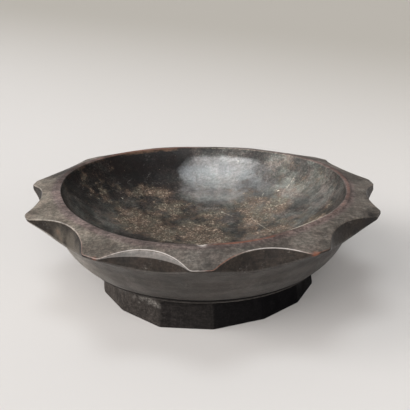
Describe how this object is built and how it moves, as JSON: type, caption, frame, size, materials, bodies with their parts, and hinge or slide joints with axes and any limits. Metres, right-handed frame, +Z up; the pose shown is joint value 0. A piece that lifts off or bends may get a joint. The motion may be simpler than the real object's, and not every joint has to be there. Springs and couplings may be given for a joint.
{
  "type": "footed wooden bowl",
  "caption": "Wide shallow carved wooden bowl with a star rim of blunt points parted by scallops, a low lip round its mouth, and a faceted foot that it stands on.",
  "frame": {"origin": "centre of the foot's flat underside, on the surface that the bowl stands on", "axes": "+Z up through the mouth, -Y to the side that the picture shows as the front, +X to its right"},
  "size_m": [0.2641, 0.2666, 0.0799],
  "materials": {
    "patinated_wood": "dark grey-brown hand-worn patina, reddish where rubbed at the lip and the points",
    "blackened_wood": "near-black, tool-marked, dull"
  },
  "bodies": {
    "root": {"bowl": "patinated_wood", "foot": "blackened_wood"}
  },
  "joints": []
}
